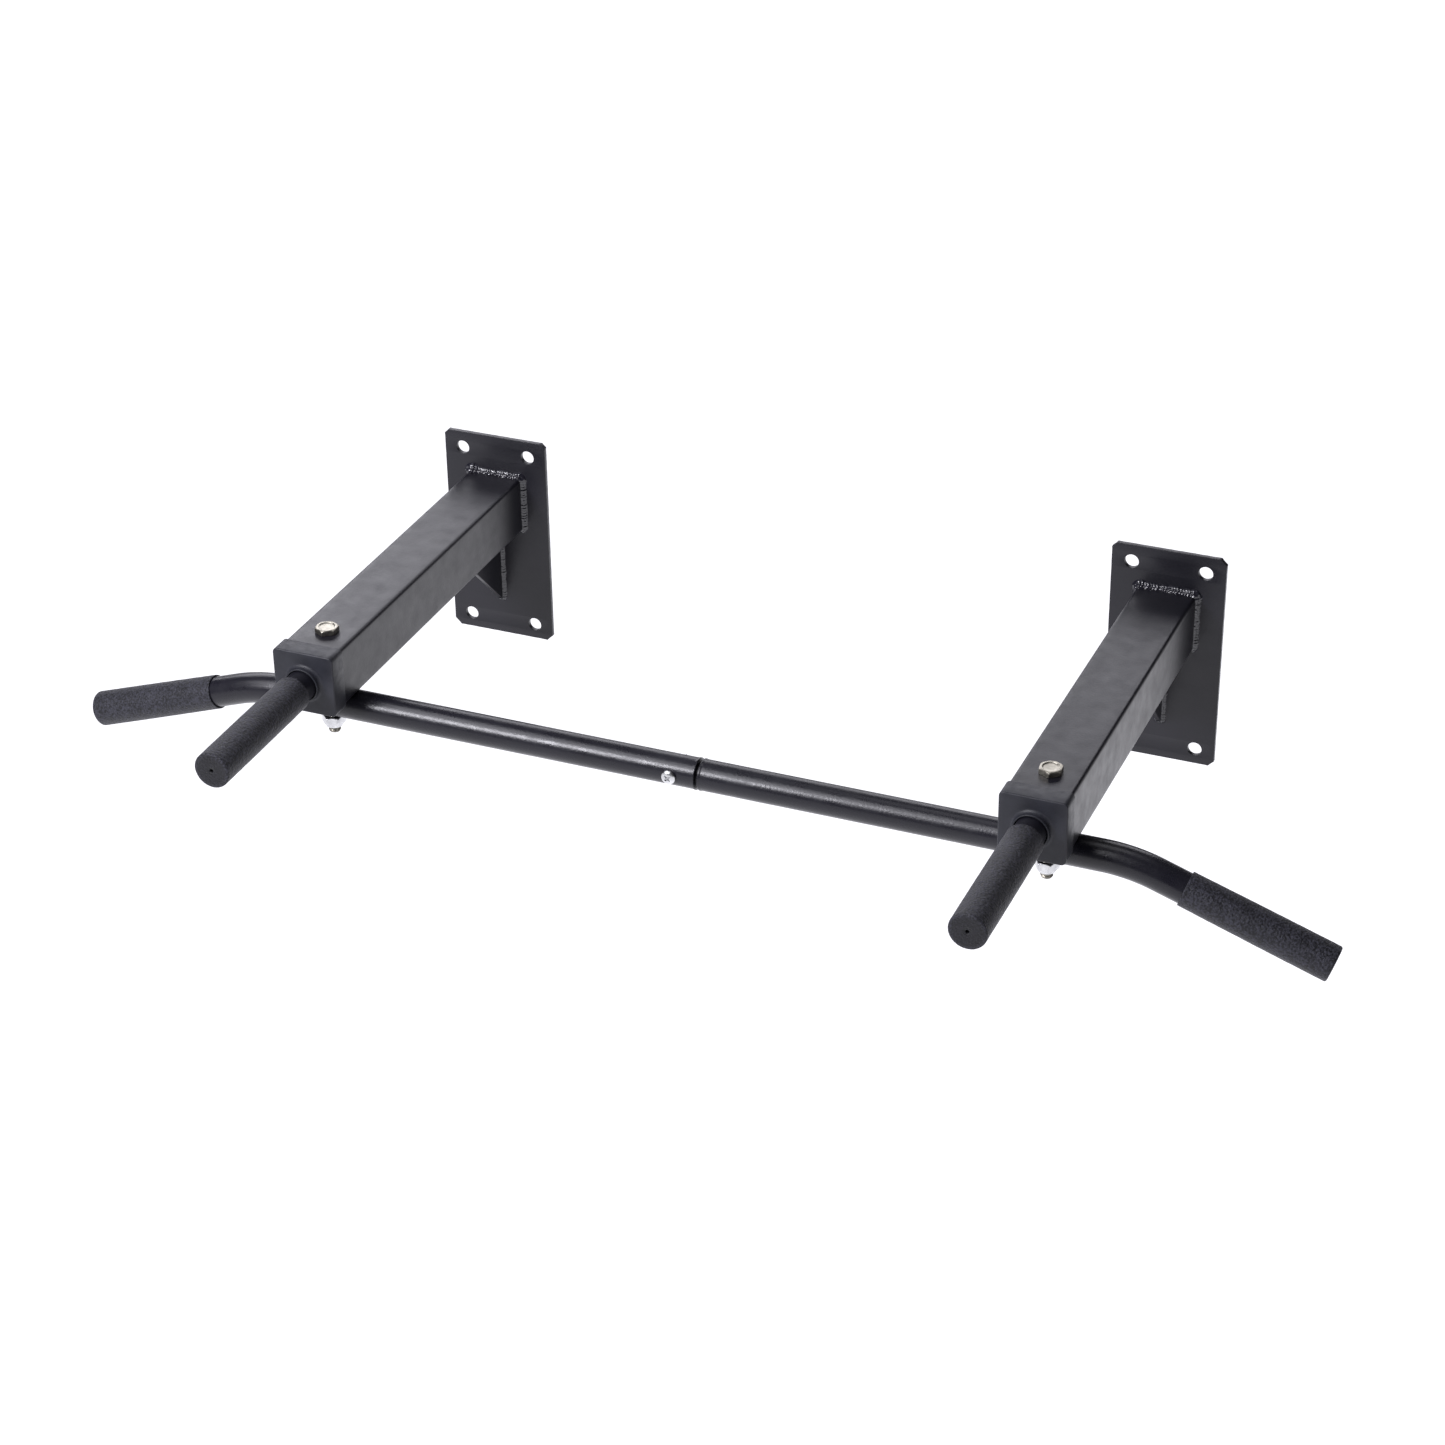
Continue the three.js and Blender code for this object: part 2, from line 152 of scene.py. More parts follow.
def circle(radius, along, sides):
    """A ring about +Z at a height."""
    turn = np.arange(sides) / sides * TAU
    return np.stack([radius * np.cos(turn), radius * np.sin(turn), np.full(sides, along)], 1)


def turned(profile, sides):
    """Rings about +Z, one for each (radius, distance along the axis)."""
    return np.array([circle(radius, along, sides) for radius, along in profile])


def spin(points, angle):
    """Turns points about +Z."""
    c, s = math.cos(angle), math.sin(angle)
    x, y = points[..., 0], points[..., 1]
    return np.stack([c * x - s * y, s * x + c * y, points[..., 2]], -1)


def to_reach(points, x, z=0):
    """Turns +Z to point away from the wall, about a line at x, z."""
    points = np.asarray(points, float)
    return np.stack([points[..., 0] + x, -points[..., 2], points[..., 1] + z], -1)


def to_x(points):
    """Turns +Z to point along +X."""
    points = np.asarray(points, float)
    return np.stack([points[..., 2], points[..., 1], -points[..., 0]], -1)


def arc(centre, radius, start, stop, steps):
    """Points on an arc in a profile, angles in degrees."""
    turns = np.radians(np.linspace(start, stop, steps + 1))
    return [(centre[0] + radius * math.cos(t), centre[1] + radius * math.sin(t)) for t in turns]


def rounded_rectangle(half_x, half_y, corner, corner_steps=8, side_steps=12):
    """Outline points and their outward normals, counter-clockwise from the +X side."""
    points, normals = [], []
    signs = ((1, 1), (-1, 1), (-1, -1), (1, -1))
    for quarter, (sx, sy) in enumerate(signs):
        centre = np.array((sx * (half_x - corner), sy * (half_y - corner)))
        for step in range(corner_steps + 1):
            turn = (quarter + step / corner_steps) * math.pi / 2
            normal = np.array((math.cos(turn), math.sin(turn)))
            points.append(centre + corner * normal)
            normals.append(normal)
        nx, ny = signs[(quarter + 1) % 4]
        start = points[-1]
        stop = np.array((nx * (half_x - corner), ny * (half_y - corner))) + corner * normals[-1]
        for step in range(1, side_steps):
            points.append(start + (stop - start) * step / side_steps)
            normals.append(normals[-1])
    return np.array(points), np.array(normals)


def hexagon_reach(angle, flats):
    """Distance from a hexagon's centre to its edge in a direction."""
    within = (angle % (TAU / 6)) - TAU / 12
    return flats / 2 / np.cos(within)


def slab(name, outline, holes, thick, edge, to_world):
    """A flat plate with rounded edges: a filled curve, extruded and bevelled, then made a mesh."""
    curve = bpy.data.curves.new(name, "CURVE")
    curve.dimensions = "2D"
    curve.fill_mode = "BOTH"
    curve.extrude = (thick / 2 - edge) * MM
    curve.bevel_depth = edge * MM
    curve.bevel_resolution = 2
    curve.offset = -edge * MM
    for points in [outline, *holes]:
        spline = curve.splines.new("POLY")
        spline.points.add(len(points) - 1)
        for point, (x, y) in zip(spline.points, points):
            point.co = (x * MM, y * MM, 0, 1)
        spline.use_cyclic_u = True
    maker = bpy.data.objects.new(name, curve)
    bpy.context.scene.collection.objects.link(maker)
    graph = bpy.context.evaluated_depsgraph_get()
    mesh = bpy.data.meshes.new_from_object(maker.evaluated_get(graph))
    bpy.data.objects.remove(maker)
    bpy.data.curves.remove(curve)
    mesh.name = name
    mesh.transform(to_world)
    bm = bmesh.new()
    bm.from_mesh(mesh)
    bmesh.ops.remove_doubles(bm, verts=bm.verts, dist=0.002 * MM)
    bm.to_mesh(mesh)
    bm.free()
    finish_mesh(mesh, 50)
    thing = bpy.data.objects.new(name, mesh)
    bpy.context.scene.collection.objects.link(thing)
    return thing


def wander(points, scale, seed):
    """Smooth noise from -1 to 1 at each point, with features about scale millimetres wide."""
    flat = np.asarray(points, float).reshape(-1, 3) / scale + seed
    values = [noise.noise(Vector(point)) for point in flat]
    return np.array(values).reshape(np.shape(points)[:-1])


def drilled(thing, *tools):
    """Cuts tools out of a piece and removes them."""
    for tool in tools:
        cutter = thing.modifiers.new("hole", "BOOLEAN")
        cutter.operation = "DIFFERENCE"
        cutter.solver = "EXACT"
        cutter.object = tool
    graph = bpy.context.evaluated_depsgraph_get()
    mesh = bpy.data.meshes.new_from_object(thing.evaluated_get(graph))
    thing.modifiers.clear()
    old = thing.data
    thing.data = mesh
    bpy.data.meshes.remove(old)
    for tool in tools:
        bpy.data.objects.remove(tool)
    mesh.set_sharp_from_angle(angle=math.radians(SHARP))
    return thing


# ---------------------------------------------------------------- material tools


def new_material(name):
    """A material with its node tree and its shader."""
    material = bpy.data.materials.new(name)
    material.use_nodes = True
    return material, material.node_tree, material.node_tree.nodes["Principled BSDF"]


def add(tree, kind, **settings):
    """Adds a node of that kind, with its settings."""
    node = tree.nodes.new(kind)
    for key, value in settings.items():
        setattr(node, key, value)
    return node


def coordinates(tree):
    """Object coordinates in millimetres."""
    place = add(tree, "ShaderNodeTexCoord")
    mapping = add(tree, "ShaderNodeMapping")
    mapping.inputs["Scale"].default_value = [1 / MM] * 3
    tree.links.new(place.outputs["Object"], mapping.inputs["Vector"])
    return mapping.outputs["Vector"]


def noise_at(tree, vector, width, detail, roughness=0.5):
    """Noise with features about width millimetres across."""
    node = add(tree, "ShaderNodeTexNoise")
    node.inputs["Scale"].default_value = 1 / width
    node.inputs["Detail"].default_value = detail
    node.inputs["Roughness"].default_value = roughness
    tree.links.new(vector, node.inputs["Vector"])
    return node.outputs["Fac"]


def cells_at(tree, vector, width):
    """Distance to the nearest of some points about width millimetres apart."""
    node = add(tree, "ShaderNodeTexVoronoi", feature="F1")
    node.inputs["Scale"].default_value = 1 / width
    tree.links.new(vector, node.inputs["Vector"])
    return node.outputs["Distance"]


def remap(tree, value, low_in, high_in, low_out, high_out):
    """Stretches one range of values to another and clamps it there."""
    node = add(tree, "ShaderNodeMapRange")
    settings = {"From Min": low_in, "From Max": high_in, "To Min": low_out, "To Max": high_out}
    for key, number in settings.items():
        node.inputs[key].default_value = number
    tree.links.new(value, node.inputs["Value"])
    return node.outputs["Result"]


def mixed(tree, factor, first, second):
    """Mix of two colours, each a socket or a plain colour."""
    node = add(tree, "ShaderNodeMix", data_type="RGBA")
    tree.links.new(factor, node.inputs["Factor"])
    for key, value in (("A", first), ("B", second)):
        socket = next(i for i in node.inputs if i.name == key and i.type == "RGBA")
        if isinstance(value, tuple):
            socket.default_value = (*value, 1)
        else:
            tree.links.new(value, socket)
    return next(o for o in node.outputs if o.type == "RGBA")


def bump(tree, height, distance, under=None):
    """Bump of a height field from 0 to 1, distance millimetres high, on top of the one under it."""
    node = add(tree, "ShaderNodeBump")
    node.inputs["Strength"].default_value = 1
    node.inputs["Distance"].default_value = distance * MM
    tree.links.new(height, node.inputs["Height"])
    if under is not None:
        tree.links.new(under, node.inputs["Normal"])
    return node.outputs["Normal"]


def maths(tree, operation, first, second):
    """A sum or product of two values, each a socket or a number."""
    node = add(tree, "ShaderNodeMath", operation=operation)
    for socket, value in zip(node.inputs, (first, second)):
        if isinstance(value, (int, float)):
            socket.default_value = value
        else:
            tree.links.new(value, socket)
    return node.outputs[0]


# ---------------------------------------------------------------- materials


def powder_coat(name, dark, light, rough, grain, waves, cloud_width=60, specular=0.38, scuff_glint=(9, 0.25, 1.9)):
    """Satin powder coat: fine orange peel, slow changes of tone, and small light spots.

    grain and waves are (width, depth) of the two scales of orange peel. The last argument is the width of
    the light spots, how much they cover the coat, and how many times lighter they are. On the coats the
    spots are wear; on the weld they are painted glints, standing in for its sparkle.
    """
    (grain_width, grain_depth), (wave_width, wave_depth) = grain, waves
    scuff_glint_width, scuff_glint_cover, scuff_glint_gain = scuff_glint
    material, tree, shader = new_material(name)
    vector = coordinates(tree)
    slow = remap(tree, noise_at(tree, vector, cloud_width, 3), 0.3, 0.7, 0, 1)
    # Light spots: wear on the coats, and on the weld painted glints that stand in for its sparkle.
    scuff_glints = remap(tree, noise_at(tree, vector, scuff_glint_width, 8, 0.72), 0.60, 0.78, 0, 1)
    shade = mixed(tree, slow, dark, light)
    cover = maths(tree, "MULTIPLY", scuff_glints, scuff_glint_cover)
    scuffed_glinting = mixed(tree, cover, shade, tuple(scuff_glint_gain * c for c in light))
    tree.links.new(scuffed_glinting, shader.inputs["Base Color"])
    rough_value = remap(tree, noise_at(tree, vector, 14, 5, 0.6), 0.25, 0.75, rough - 0.06, rough + 0.07)
    tree.links.new(rough_value, shader.inputs["Roughness"])
    surface = bump(tree, noise_at(tree, vector, wave_width, 1), wave_depth)
    surface = bump(tree, noise_at(tree, vector, grain_width, 2), grain_depth, surface)
    tree.links.new(surface, shader.inputs["Normal"])
    shader.inputs["Specular IOR Level"].default_value = specular
    return material


def foam_material():
    """Matte closed-cell foam: a light and dark grain, tiny pores, and painted shade that darkens its ends."""
    material, tree, shader = new_material("foam")
    vector = coordinates(tree)
    speckle = noise_at(tree, vector, 1.7, 2, 0.6)
    patches = noise_at(tree, vector, 16, 3)
    tone = maths(tree, "ADD", maths(tree, "MULTIPLY", speckle, 0.85), maths(tree, "MULTIPLY", patches, 0.15))
    skin = mixed(tree, remap(tree, tone, 0.42, 0.61, 0, 1), (0.004, 0.004, 0.0060), (0.030, 0.030, 0.041))
    # Painted shade: the marked ends are darkened most of the way to near black.
    end_shade = add(tree, "ShaderNodeAttribute", attribute_name="end_shade")
    colour = mixed(tree, maths(tree, "MULTIPLY", end_shade.outputs["Fac"], 0.65), skin, (0.002, 0.002, 0.003))
    tree.links.new(colour, shader.inputs["Base Color"])
    pores = cells_at(tree, vector, 2.0)
    surface = bump(tree, speckle, 0.5)
    tree.links.new(bump(tree, pores, 0.3, surface), shader.inputs["Normal"])
    tree.links.new(remap(tree, speckle, 0.3, 0.7, 0.50, 0.70), shader.inputs["Roughness"])
    shader.inputs["Specular IOR Level"].default_value = 0.32
    shader.inputs["Sheen Weight"].default_value = 0.06
    shader.inputs["Sheen Roughness"].default_value = 0.45
    return material


def plastic_material():
    """Satin moulded plastic with a fine spark-eroded texture."""
    material, tree, shader = new_material("cap_plastic")
    vector = coordinates(tree)
    slow = remap(tree, noise_at(tree, vector, 12, 3), 0.3, 0.7, 0, 1)
    shade = mixed(tree, slow, (0.014, 0.0146, 0.0195), (0.020, 0.0208, 0.0275))
    tree.links.new(shade, shader.inputs["Base Color"])
    rough_value = remap(tree, noise_at(tree, vector, 5, 5), 0.3, 0.7, 0.42, 0.53)
    tree.links.new(rough_value, shader.inputs["Roughness"])
    tree.links.new(bump(tree, noise_at(tree, vector, 0.9, 2), 0.035), shader.inputs["Normal"])
    shader.inputs["Specular IOR Level"].default_value = 0.30
    return material


def plated_metal(name, dark, light, rough, tint_width):
    """Plated steel: cloudy tint, fine scratches and small pits."""
    material, tree, shader = new_material(name)
    vector = coordinates(tree)
    cloud = remap(tree, noise_at(tree, vector, tint_width, 4), 0.3, 0.7, 0, 1)
    tree.links.new(mixed(tree, cloud, dark, light), shader.inputs["Base Color"])
    shader.inputs["Metallic"].default_value = 1
    wear = noise_at(tree, vector, 0.8, 6, 0.7)
    tree.links.new(remap(tree, wear, 0.3, 0.7, rough - 0.07, rough + 0.1), shader.inputs["Roughness"])
    tree.links.new(bump(tree, wear, 0.02), shader.inputs["Normal"])
    return material


def nylon_material():
    """Milky nylon that lets a little light in."""
    material, tree, shader = new_material("nylon")
    vector = coordinates(tree)
    cloud = remap(tree, noise_at(tree, vector, 2, 3), 0.3, 0.7, 0, 1)
    tree.links.new(mixed(tree, cloud, (0.62, 0.66, 0.70), (0.76, 0.78, 0.80)), shader.inputs["Base Color"])
    tree.links.new(remap(tree, noise_at(tree, vector, 1, 3), 0.3, 0.7, 0.4, 0.55), shader.inputs["Roughness"])
    tree.links.new(bump(tree, noise_at(tree, vector, 0.6, 2), 0.02), shader.inputs["Normal"])
    shader.inputs["Subsurface Weight"].default_value = 0.1
    return material


MATERIALS = {
    "powder_coat": powder_coat("powder_coat", (0.0060, 0.0058, 0.0092), (0.0086, 0.0082, 0.0128), 0.38,
                               (1.6, 0.035), (3.2, 0.03)),
    "bar_coat": powder_coat("bar_coat", (0.0066, 0.0063, 0.0100), (0.0094, 0.0090, 0.0140), 0.29,
                            (2.0, 0.11), (3.2, 0.015)),
    # The weld's dense light spots, twelve times lighter than its coat, are painted glints for its sparkle.
    "weld_coat": powder_coat("weld_coat", (0.0084, 0.0080, 0.0127), (0.0126, 0.0120, 0.0182), 0.16,
                             (2.2, 0.24), (3.6, 0.12), 8, 0.7, (2.2, 0.9, 12)),
    "cap_plastic": plastic_material(),
    "foam": foam_material(),
    "nickel_steel": plated_metal("nickel_steel", (0.28, 0.264, 0.224), (0.46, 0.437, 0.378), 0.36, 4),
    "zinc_steel": plated_metal("zinc_steel", (0.46, 0.465, 0.48), (0.71, 0.715, 0.72), 0.28, 5),
    "nylon": nylon_material(),
}
NODE_SLOT = {row["node"]: row["material_slot"] for row in frame["record"]["subparts"]}


def stands_for(thing, node):
    """Puts a fine piece in place of its CAD node, with that node's finish."""
    slot = NODE_SLOT[node]
    thing.data.materials.clear()
    thing.data.materials.append(MATERIALS[slot])
    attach(thing, "root")
    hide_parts(node)
    return thing


# ---------------------------------------------------------------- bracket


def sheared_edge(points, depth, seed):
    """Splits an outline into short steps and roughens it inwards, as a cropped edge is."""
    rough = []
    for start, stop in zip(points, np.roll(points, -1, 0)):
        along = stop - start
        length = np.linalg.norm(along)
        steps = max(1, round(length / 2.5))
        inward = np.array((-along[1], along[0])) / length
        for step in range(steps):
            place = start + along * step / steps
            lift = (noise.noise(Vector((place[0] / 5, place[1] / 5, seed))) + 1) / 2
            rough.append(place + inward * lift * depth * (step > 0))
    return np.array(rough)


def wall_plate(side):
    """A plate with four holes. Its corners are cropped by hand, so each one is a little different."""
    node = f"{side}_wall_plate"
    (x0, _, z0), (x1, _, z1) = low(node), high(node)
    top_left, top_right, low_right, low_left = PLATE_CORNERS[side]
    corners = [(x1 - low_right, z0), (x1, z0 + low_right), (x1, z1 - top_right), (x1 - top_right, z1),
               (x0 + top_left, z1), (x0, z1 - top_left), (x0, z0 + low_left), (x0 + low_left, z0)]
    outline = sheared_edge(np.array(corners), 0.3, 3 + 20 * SIDES.index(side))
    holes = []
    for z in (z1 - WALL_HOLE["top"], z0 + WALL_HOLE["bottom"]):
        for x in (x0 + WALL_HOLE["side"], x1 - WALL_HOLE["side"]):
            holes.append(circle(WALL_HOLE["radius"], 0, 64)[:, :2] + (x, z))
    centre = Matrix.Translation((0, middle(node)[1] * MM, 0))
    upright = centre @ Matrix.Rotation(math.pi / 2, 4, "X")
    return stands_for(slab(f"{side}_plate_fine", outline, holes, size(node)[1], 0.25, upright), node)


def arm_tube(side):
    """Square tube with rounded corners, open at both ends, with the bolt's hole through it."""
    node = f"{side}_arm_tube"
    start, end = -high(node)[1], -low(node)[1]
    outside, normals = rounded_rectangle(ARM_HALF, ARM_HALF, ARM_CORNER)
    profile = [(0, start), (0, end), (-ARM_WALL, end), (-ARM_WALL, start)]
    rings = [np.column_stack([outside + normals * inset, np.full(len(outside), reach)])
             for inset, reach in profile]
    tube = ring_mesh(f"{side}_arm_fine", to_reach(rings, ARM_X[side]), wrap=True)
    bolt_hole = ring_mesh("bolt_hole", turned([(BOLT["radius"] + CLEARANCE, -2 * ARM_HALF),
                                               (BOLT["radius"] + CLEARANCE, 2 * ARM_HALF)], 48)
                          + (ARM_X[side], -BOLT_REACH, 0))
    return stands_for(drilled(tube, bolt_hole), node)


def gusset(side):
    """Upright triangular plate under the arm, coped around the corner of arm and wall plate."""
    node = f"{side}_gusset"
    root, far = -high(node)[1], -low(node)[1]
    top, bottom = high(node)[2], low(node)[2]
    cope, land, nose = GUSSET["cope"], GUSSET["land"], GUSSET["nose"]
    outline = [(root + cope, top), (root + cope, top - land), (root + land, top - cope), (root, top - cope),
               (root, bottom), (root + nose, bottom), (far, top - nose), (far, top)]
    basis = Matrix(((0, 0, -1), (-1, 0, 0), (0, 1, 0))).to_4x4()
    to_world = Matrix.Translation((ARM_X[side] * MM, 0, 0)) @ basis
    return stands_for(slab(f"{side}_gusset_fine", outline, [], size(node)[0], 0.4, to_world), node)


# ---------------------------------------------------------------- welds


# Share of the CAD bead's leg, spacing of the sections, depth into the metal, most that lumps may add up to,
# height and widths of the lumps, width of a blob, height and pitch of the ripples, corner at a gusset's edge.
WELD = {"share": 0.86, "step": 0.55, "sunk": 0.12, "fullest": 2.3, "lump": 0.16, "lump_widths": (8, 1.8),
        "blob_width": 4.5, "ripple": 0.07, "ripple_pitch": 2.5, "gusset_corner": 0.3}


def path_around(half_x, half_y, corner, step):
    """Closely spaced points around a rounded rectangle, their outward directions and the distance run."""
    outline, normals = rounded_rectangle(half_x, half_y, corner, 10, 1)
    points, outwards = [], []
    for index in range(len(outline)):
        after = (index + 1) % len(outline)
        span = outline[after] - outline[index]
        pieces = max(1, round(np.linalg.norm(span) / step))
        for part in range(pieces):
            points.append(outline[index] + span * part / pieces)
            normal = normals[index] + (normals[after] - normals[index]) * part / pieces
            outwards.append(normal / np.linalg.norm(normal))
    gaps = np.linalg.norm(np.diff(points, axis=0), axis=1)
    return np.array(points), np.array(outwards), np.concatenate([[0], np.cumsum(gaps)])


def weld_bead(half_x, half_y, corner, leg, seed, blobs):
    """Rippled fillet around a rounded rectangle, drawn about +Z on z = 0.

    blobs are (x, y, extra) places where the welder lingered and the bead is that much fuller.
    """
    across = np.linspace(0, math.pi / 2, 13)
    sunk = WELD["sunk"]
    wide, fine = WELD["lump_widths"]
    rings = []
    for place, outward, run in zip(*path_around(half_x, half_y, corner, WELD["step"])):
        lump = 1 + WELD["lump"] * noise.noise(Vector((place[0] / wide + seed, place[1] / wide, 0)))
        lump += WELD["lump"] * noise.noise(Vector((place[0] / fine, place[1] / fine, seed)))
        for blob_x, blob_y, extra in blobs:
            away = math.hypot(place[0] - blob_x, place[1] - blob_y)
            lump += extra * math.exp(-(away / WELD["blob_width"]) ** 2)
        hump = 0.05 + 0.13 * max(outward[1], 0)
        unevenness = 0.3 * noise.noise(Vector((run / 6, seed, 0)))
        ring = [np.array((*(place - outward * sunk), -sunk))]
        for turn in across:
            chord = 1 / (math.cos(turn) + math.sin(turn))
            full = chord * (1 + hump * math.sin(4 * turn) ** 2)
            crescent = run / WELD["ripple_pitch"] + 0.55 * math.sin(2 * turn) + unevenness
            ripple = 0
            if 0 < turn < across[-1]:
                ripple = WELD["ripple"] * math.sin(TAU * crescent) * math.sin(2 * turn) ** 0.5
            reach = min(leg * full * lump, WELD["fullest"] * leg) * (1 + ripple)
            out, up = reach * math.cos(turn), reach * math.sin(turn)
            if turn == across[-1]:
                out -= sunk
            if turn == across[0]:
                up -= sunk
            ring.append(np.array((*(place + outward * out), up)))
        rings.append(ring)
    return rings


def arm_weld(side):
    """The bead all round an arm's root. It is fullest at the upper left corner."""
    node = f"{side}_arm_weld"
    leg = size(node)[1]
    start = {"left": 0.75, "right": 0.4}[side]
    blobs = [(-ARM_HALF + 3, ARM_HALF, start), (ARM_HALF - 1, ARM_HALF, 0.3), (6, ARM_HALF, 0.2)]
    seed = 5.3 + SIDES.index(side)
    rings = weld_bead(ARM_HALF, ARM_HALF, ARM_CORNER, WELD["share"] * leg, seed, blobs)
    rings = to_reach(np.array(rings) + (0, 0, PLATE_FRONT), ARM_X[side])
    return stands_for(ring_mesh(f"{side}_arm_bead", rings, wrap=True, sharp=60), node)


def gusset_plate_weld(side):
    """The bead between a gusset and its wall plate."""
    node = f"{side}_gusset_plate_weld"
    leg = size(node)[1]
    half_x = size(f"{side}_gusset")[0] / 2
    half_z = size(node)[2] / 2 - leg
    rings = weld_bead(half_x, half_z, WELD["gusset_corner"], WELD["share"] * leg, 9.1, [(0, -half_z, 0.2)])
    rings = to_reach(np.array(rings) + (0, 0, PLATE_FRONT), ARM_X[side], middle(node)[2])
    return stands_for(ring_mesh(f"{side}_gusset_plate_bead", rings, wrap=True, sharp=60), node)


def gusset_arm_weld(side):
    """The bead between a gusset and the underside of its arm."""
    node = f"{side}_gusset_arm_weld"
    leg = size(node)[2]
    half_x = size(f"{side}_gusset")[0] / 2
    half_y = size(node)[1] / 2 - leg
    rings = weld_bead(half_x, half_y, WELD["gusset_corner"], WELD["share"] * leg, 2.7, [(0, half_y, 0.15)])
    rings = np.array(rings) * (1, -1, -1) + (ARM_X[side], middle(node)[1], -ARM_HALF)
    return stands_for(ring_mesh(f"{side}_gusset_arm_bead", rings, wrap=True, sharp=60), node)


# ---------------------------------------------------------------- end cap


def end_cap(side):
    """A moulded sleeve: its sections are rounded squares that melt into the collar's circles."""
    node = f"{side}_end_cap"
    half = size(node)[0] / 2
    back, rim = -high(node)[1], -low(node)[1]
    face = rim - COLLAR["reach"]
    inside_face = face - CAP["front"]
    corner, edge = CAP["corner"], CAP["edge"]
    outline, _ = rounded_rectangle(half, half, corner, 10, 16)
    angles = np.arctan2(outline[:, 1], outline[:, 0])
    unit_circle = np.stack([np.cos(angles), np.sin(angles)], 1)

    def squared(inset, reach):
        section, _ = rounded_rectangle(half - inset, half - inset, corner - inset, 10, 16)
        return np.column_stack([section, np.full(len(section), reach)])

    def rounded(radius, reach):
        return np.column_stack([unit_circle * radius, np.full(len(unit_circle), reach)])

    rings = [squared(CAP["wall"], back + 0.25), squared(CAP["wall"] - 0.3, back), squared(0.3, back)]
    rings += [squared(0.08, back + 0.08), squared(0, back + 0.3)]
    for turn in np.radians(np.linspace(0, 75, 6)):
        rings.append(squared(edge * (1 - math.cos(turn)), face - edge + edge * math.sin(turn)))
    flat = squared(edge, face)
    rings.append(flat)
    base, lip = COLLAR["base"], COLLAR["rim"]
    for blend in (0.35, 0.7):
        rings.append(flat * (1 - blend) + rounded(base, face) * blend)
    flare = base - lip
    for turn in np.radians(np.linspace(0, 90, 10)):
        rings.append(rounded(base - flare * math.sin(turn), face + flare * (1 - math.cos(turn))))
    lip_edge = 0.55
    for turn in np.radians((0, 30, 60, 90)):
        inset, out = lip_edge * (1 - math.cos(turn)), lip_edge * math.sin(turn)
        rings.append(rounded(lip - inset, rim - lip_edge + out))
    hole = COLLAR["hole"]
    pocket, throat = COLLAR["taper"]
    rings += [rounded(hole + 0.3, rim), rounded(hole + 0.08, rim - 0.1), rounded(hole, rim - 0.35)]
    rings += [rounded(hole, inside_face + throat), rounded(COLLAR["pocket"], inside_face + pocket)]
    rings += [rounded(COLLAR["pocket"], inside_face), squared(CAP["wall"], inside_face)]
    return stands_for(ring_mesh(f"{side}_cap_fine", to_reach(rings, ARM_X[side]), wrap=True), node)


# ---------------------------------------------------------------- foam grips


def foam_sleeve(name, start, end, bore, mouth, far, vent, seed, place, seam=None):
    """A closed foam sleeve, drawn about +Z and put in its place by place().

    Its ends are marked for painted shade. A seam is a fine crease along it at that angle in degrees.
    """
    sides = 192
    rim = 1.7
    corner = 0.6
    blank = [(0.4, end - FOAM_END), (bore, end - FOAM_END), (bore, start + 1.5)]
    face = [(bore + 0.4, start), (mouth - corner, start)]
    outside = arc((mouth - corner, start + corner), corner, -60, 0, 3)
    steps = round((end - start - corner - rim) / 1.2)
    for step in range(1, steps):
        share = step / steps
        swell = math.sin(math.pi * share) * 0.12
        along = start + corner + (end - rim - start - corner) * share
        outside.append((mouth + (far - mouth) * share + swell, along))
    outside += arc((far - rim, end - rim), rim, 0, 84, 7)
    end_face = [((far - rim) * share + 0.2, end - 0.25 * (1 - share)) for share in (0.8, 0.55, 0.3)]
    if vent:
        end_face += [(vent + 0.4, end - 0.25), (vent + 0.1, end - 0.6), (vent, end - 0.9)]
        end_face += [(vent, end - FOAM_END)]
        blank = blank[1:]
    else:
        end_face += [(0.4, end - 0.25)]
    profile = blank + face + outside + end_face
    rings = turned(profile, sides)
    radius = np.linalg.norm(rings[..., :2], axis=-1)
    radial = rings[..., :2] / radius[..., None]
    skin = 0.10 * wander(rings, 7, seed) + 0.07 * wander(rings, 2.4, seed + 9) - 0.12
    if seam is not None:
        turn = np.arange(sides) / sides * 360
        skin -= 0.35 * np.exp(-((turn - seam) / 1.6) ** 2)
    outer = np.array([reach > bore + 0.8 for reach, _ in profile])
    rings[..., :2] += radial * (skin * outer[:, None])[..., None]
    sleeve = ring_mesh(name, place(rings), wrap=bool(vent), sharp=50)
    # The bore, the mouth and the end face are marked for painted shade.
    end_shade_mask = np.zeros(len(profile))
    end_shade_mask[:len(blank) + len(face)] = 1
    end_shade_mask[-len(end_face):] = 1
    mark = sleeve.data.attributes.new("end_shade", "FLOAT", "POINT")
    mark.data.foreach_set("value", np.repeat(end_shade_mask, sides))
    return sleeve


def handle_grip(side):
    """The foam on a forward handle, with a small vent in its end."""
    node = f"{side}_handle_grip"
    start, end = -high(node)[1], -low(node)[1]
    radius = size(node)[0] / 2
    bore = size(f"{side}_handle_tube")[0] / 2 + CLEARANCE
    grip = foam_sleeve(f"{side}_handle_foam", start, end, bore, radius - 0.1, radius, VENT,
                       4 + SIDES.index(side), lambda rings: to_reach(rings, ARM_X[side]))
    stands_for(grip, node)
    return grip


